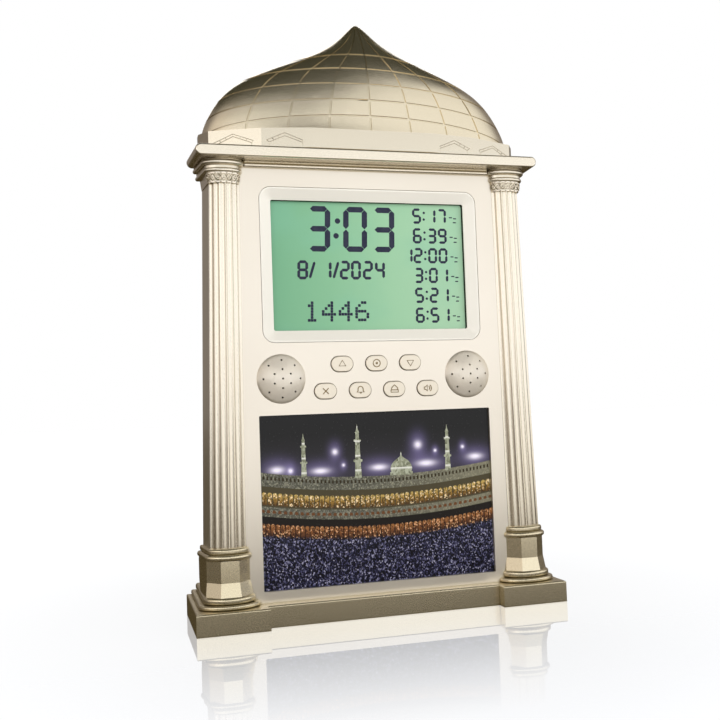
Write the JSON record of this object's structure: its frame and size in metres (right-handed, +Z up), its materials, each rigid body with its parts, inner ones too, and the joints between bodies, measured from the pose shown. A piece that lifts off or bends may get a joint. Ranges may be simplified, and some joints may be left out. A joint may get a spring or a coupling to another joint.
{
  "type": "prayer time table clock",
  "caption": "Dome-topped prayer time table clock with a wide display, push buttons, two domed speaker grilles and a framed picture between fluted columns on a deep foot.",
  "frame": {"origin": "on the table below the middle of the foot", "axes": "+Z up, -Y towards the person who reads the display, +X to that person's right"},
  "size_m": [0.224, 0.063, 0.364],
  "materials": {
    "gold_paint": "champagne gold metallic lacquer, satin gloss",
    "rear_plastic": "fine grained moulded plastic in the colour of the case",
    "steel_screw": "zinc plated",
    "nickel_contact": "nickel plated spring steel",
    "black_foam": "closed cell foam",
    "contact_rubber": "layered silicone",
    "display_glass": "green display cell with a satin polariser",
    "light_panel": "translucent light guide",
    "circuit_board": "solder mask",
    "component_black": "moulded",
    "flat_cable": "white film",
    "picture_print": "clear panel with a print on its rear",
    "grey_card": "card",
    "speaker_black": "paper cone in a plastic basket",
    "button_gold": "champagne gold metallic lacquer",
    "battery_wrap": "printed steel can"
  },
  "bodies": {
    "case": {"base_cover": "rear_plastic", "base_plinth": "gold_paint", "base_screws": "steel_screw", "battery_1": "battery_wrap", "battery_2": "battery_wrap", "battery_3": "battery_wrap", "battery_contacts": "nickel_contact", "board_components": "component_black", "board_screws": "steel_screw", "button_board": "circuit_board", "capital_left": "gold_paint", "capital_right": "gold_paint", "case_screws": "steel_screw", "column_left": "gold_paint", "column_right": "gold_paint", "cornice": "gold_paint", "dome_back": "rear_plastic", "dome_screws": "steel_screw", "dome_shell": "gold_paint", "front_case": "gold_paint", "lcd_backlight": "light_panel", "lcd_bezel": "gold_paint", "lcd_contact_strip": "contact_rubber", "lcd_gasket": "black_foam", "lcd_glass": "display_glass", "main_board": "circuit_board", "pedestal_left": "gold_paint", "pedestal_right": "gold_paint", "picture_backing": "grey_card", "picture_panel": "picture_print", "rear_cover": "rear_plastic", "rear_screws": "steel_screw", "ribbon_cable": "flat_cable", "speaker_left": "speaker_black", "speaker_right": "speaker_black", "speaker_screws": "steel_screw", "tact_switches": "component_black", "top_screws": "steel_screw"},
    "battery_door": {"battery_door": "rear_plastic"},
    "down_button": {"down_button": "button_gold"},
    "set_button": {"set_button": "button_gold"},
    "up_button": {"up_button": "button_gold"},
    "exit_button": {"exit_button": "button_gold"},
    "alarm_button": {"alarm_button": "button_gold"},
    "prayer_button": {"prayer_button": "button_gold"},
    "sound_button": {"sound_button": "button_gold"}
  },
  "joints": [
    {"name": "down_press", "type": "slide", "parent": "case", "child": "down_button", "axis": [0, 1, 0], "range_m": [0, 0.001], "stiffness_N_per_m": 300, "springref_m": -0.0005},
    {"name": "set_press", "type": "slide", "parent": "case", "child": "set_button", "axis": [0, 1, 0], "range_m": [0, 0.001], "stiffness_N_per_m": 300, "springref_m": -0.0005},
    {"name": "up_press", "type": "slide", "parent": "case", "child": "up_button", "axis": [0, 1, 0], "range_m": [0, 0.001], "stiffness_N_per_m": 300, "springref_m": -0.0005},
    {"name": "exit_press", "type": "slide", "parent": "case", "child": "exit_button", "axis": [0, 1, 0], "range_m": [0, 0.001], "stiffness_N_per_m": 300, "springref_m": -0.0005},
    {"name": "alarm_press", "type": "slide", "parent": "case", "child": "alarm_button", "axis": [0, 1, 0], "range_m": [0, 0.001], "stiffness_N_per_m": 300, "springref_m": -0.0005},
    {"name": "prayer_press", "type": "slide", "parent": "case", "child": "prayer_button", "axis": [0, 1, 0], "range_m": [0, 0.001], "stiffness_N_per_m": 300, "springref_m": -0.0005},
    {"name": "sound_press", "type": "slide", "parent": "case", "child": "sound_button", "axis": [0, 1, 0], "range_m": [0, 0.001], "stiffness_N_per_m": 300, "springref_m": -0.0005},
    {"name": "battery_door_hinge", "type": "hinge", "parent": "case", "child": "battery_door", "pos_m": [0, 0.0053, 0.04365], "axis": [-1, 0, 0], "range_deg": [0, 90]}
  ]
}
